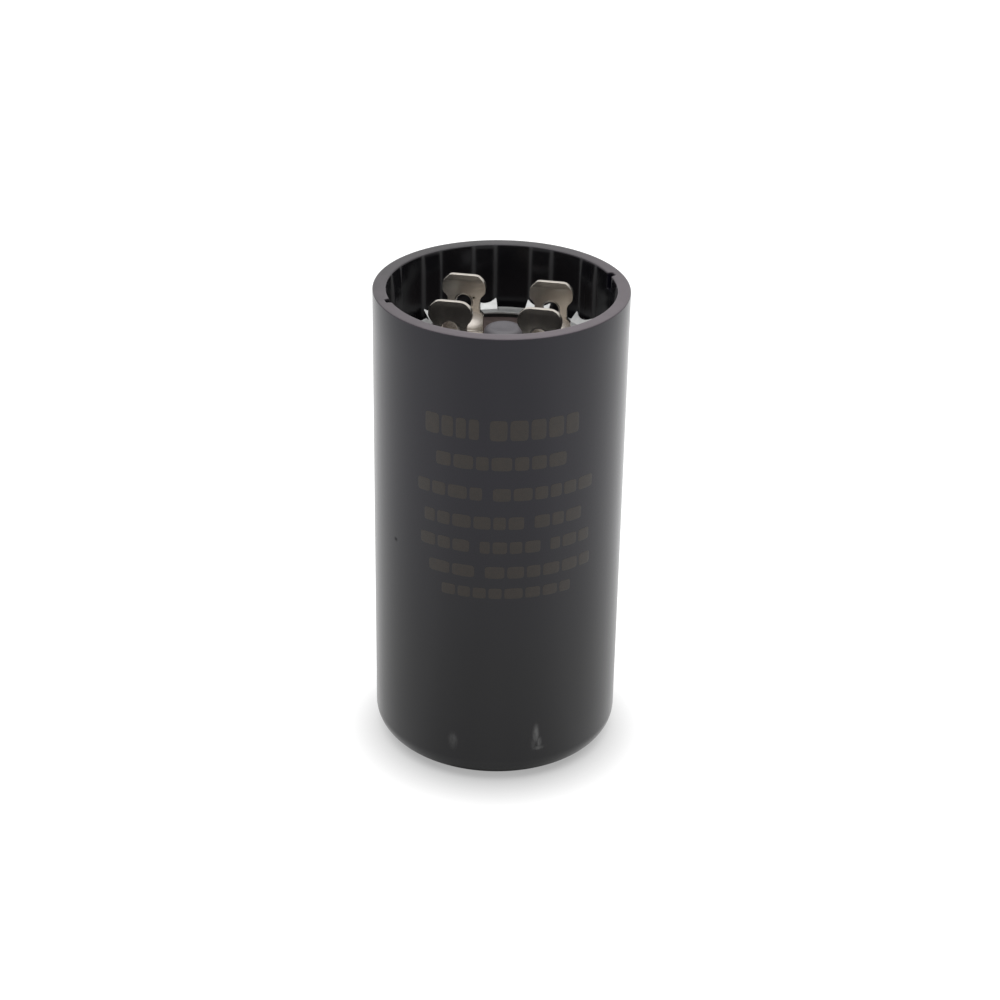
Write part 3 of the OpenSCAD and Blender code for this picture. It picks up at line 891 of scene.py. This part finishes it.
# %% Finish the sealed pieces
paper_roll = mottled(
    "kraft_paper_roll", [(0.36, 0.25, 0.14), (0.5, 0.37, 0.22)], 0.25, (0.6, 0.8), 0.1, 0.01,
    stretch=(1, 1, 40),
)
tape = mottled(
    "paper_tape", [(0.62, 0.54, 0.32), (0.7, 0.62, 0.4)], 2.0, (0.5, 0.65), 0.2, 0.008,
    stretch=(6, 6, 1),
)
fibre = mottled(
    "pressed_fibre", [(0.4, 0.33, 0.22), (0.52, 0.44, 0.31)], 0.7, (0.7, 0.85), 0.15, 0.02
)
foil = mottled(
    "aluminium_foil", [(0.75, 0.76, 0.78), (0.86, 0.87, 0.88)], 1.2, (0.2, 0.36), 0.2, 0.01,
    metal=1.0,
)
zinc = mottled(
    "zinc_washer", [(0.55, 0.56, 0.57), (0.66, 0.67, 0.67)], 0.6, (0.3, 0.45), 0.1, 0.005,
    metal=1.0,
)
INSIDE = {
    "winding": (paper_roll, "winding_paper"), "winding_tape": (tape, "tape_paper"),
    "base_pad": (fibre, "pad_fibre"),
    "lead_strip_left": (foil, "lead_foil"), "lead_strip_right": (foil, "lead_foil"),
    "rivet_washer_left": (zinc, "washer_steel"), "rivet_washer_right": (zinc, "washer_steel"),
}
for node, (finish, slot) in INSIDE.items():
    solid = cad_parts[node]
    solid.data.materials.clear()
    solid.data.materials.append(finish)
print("finished inside:", ", ".join(INSIDE))

# %% [markdown]
# ## Floor and light
# The floor is a pale matt sheet. The world gives an even light, and both are lifted to plain white
# where the camera or a reflection sees them. The floor is lifted less near the foot, which paints a
# short shadow there. A black glossy case shows mostly what it mirrors, so reflections have their
# own lift, with painted shade under the foot and a painted darker room ahead and at the left. A
# large soft box hangs almost straight above, so that the tabs' tops and the lock ring catch it and
# the case has a short soft shadow.

# %% Lay the floor
FLOOR_HALF, FLOOR_DROP = 3000.0, 0.05
# Seen, the floor is darker than it lights, and its lift is lowered near the foot: a painted shadow
# that carries most of the shade there.
LIT_GREY, SEEN_GREY = (0.7,) * 3, (0.4,) * 3
SHADE_AHEAD, SHADE_R, CLEAR_R = 3.0, 14.5, 24.5  # the shadow's middle and its two radii
SHADE_LIFT, CLEAR_LIFT = 0.37, 0.9
# Painted shade that reflections see: a dark floor under the foot, and less lift ahead and at the
# left
UNDER_R, OPEN_R, WIDE_R = 13.5, 17.5, 120.0  # the radii that reflections see
UNDER_LIFT, OPEN_LIFT, WIDE_LIFT = 0.25, 0.74, 0.24
AHEAD_LOSS, AHEAD_FROM, LEFT_LOSS, LEFT_FROM, LOSS_FULL = 0.24, 0.6, 0.14, 0.0, 0.97
corners = np.array([[-1, -1], [1, -1], [1, 1], [-1, 1]]) * FLOOR_HALF
floor_mesh = bpy.data.meshes.new("floor")
corner_points = [(x * MM, y * MM, -FLOOR_DROP * MM) for x, y in corners]
floor_mesh.from_pydata(corner_points, [], [(0, 1, 2, 3)])
floor = bpy.data.objects.new("floor", floor_mesh)
scene.collection.objects.link(floor)


def seen(tree):
    """1 for a ray from the camera, a reflection or clear glass, and 0 for one that only lights."""
    path = add(tree, "ShaderNodeLightPath").outputs
    mirrored = calc(tree, "MAXIMUM", path["Is Glossy Ray"], path["Is Transmission Ray"])
    return calc(tree, "MAXIMUM", path["Is Camera Ray"], mirrored)


def mirrored_lift(tree, far):
    """How far reflections see the floor lifted, with painted shade: dark under the foot, lighter
    with the distance, and a little darker ahead and at the left, painted there as a darker room."""
    near = between(tree, far, UNDER_LIFT, OPEN_LIFT, UNDER_R * MM, OPEN_R * MM)
    wide = between(tree, far, 0.0, WIDE_LIFT, CLEAR_R * MM, WIDE_R * MM)
    lift = calc(tree, "ADD", near, wide)
    way = vector(tree, "NORMALIZE", place_of(tree))["Vector"]
    ahead, left = around(CAMERA_TURN, 0), around(CAMERA_TURN - np.pi / 2, 0)
    for side, loss, start in ((ahead, AHEAD_LOSS, AHEAD_FROM), (left, LEFT_LOSS, LEFT_FROM)):
        towards = vector(tree, "DOT_PRODUCT", way, side)["Value"]
        lift = calc(tree, "SUBTRACT", lift, between(tree, towards, 0.0, loss, start, LOSS_FULL))
    return lift


def floor_finish():
    """Matt pale grey, lifted to white where it is seen: less near the foot, which paints a shadow.
    """
    material, tree, shader = new_finish("pale_floor")
    tree.links.new(tint(tree, seen(tree), LIT_GREY, SEEN_GREY), shader.inputs["Base Color"])
    shader.inputs["Roughness"].default_value = 1.0
    shader.inputs["Specular IOR Level"].default_value = 0.0
    shader.inputs["Emission Color"].default_value = (1, 1, 1, 1)
    shade = SHADE_AHEAD * around(CAMERA_TURN, 0) * MM
    far = vector(tree, "DISTANCE", place_of(tree), shade)["Value"]
    direct = between(tree, far, SHADE_LIFT, CLEAR_LIFT, SHADE_R * MM, CLEAR_R * MM)
    glossy = add(tree, "ShaderNodeLightPath").outputs["Is Glossy Ray"]
    lift = between(tree, glossy, direct, mirrored_lift(tree, far), 0.0, 1.0)
    tree.links.new(calc(tree, "MULTIPLY", seen(tree), lift), shader.inputs["Emission Strength"])
    return material


floor_mesh.materials.append(floor_finish())
print("floor:", 2 * FLOOR_HALF, "wide")

# %% Light the scene
WORLD_LIGHT = 0.3
BOX_TURN, BOX_RISE, BOX_DISTANCE, BOX_SIDE, BOX_LEVEL = 190, 86, 900, 1100, 2.05
world = bpy.data.worlds.new("white_room")
scene.world = world
world.use_nodes = True
sky = world.node_tree
strength = between(sky, seen(sky), WORLD_LIGHT, 1.0, 0.0, 1.0)
sky.links.new(strength, sky.nodes["Background"].inputs["Strength"])
sky.nodes["Background"].inputs["Color"].default_value = (1, 1, 1, 1)

lamp = bpy.data.lights.new("top_box", "AREA")
lamp.shape, lamp.size, lamp.size_y = "RECTANGLE", BOX_SIDE * MM, BOX_SIDE * MM
lamp.energy = BOX_LEVEL * np.pi * BOX_SIDE * BOX_SIDE * MM * MM
soft_box = bpy.data.objects.new("top_box", lamp)
scene.collection.objects.link(soft_box)
box_place = aim + BOX_DISTANCE * around(np.radians(BOX_TURN), np.radians(BOX_RISE))
soft_box.matrix_world = looking(box_place, aim)
scene.view_settings.view_transform = "Standard"
print(f"soft box: {lamp.energy:.2f} W")
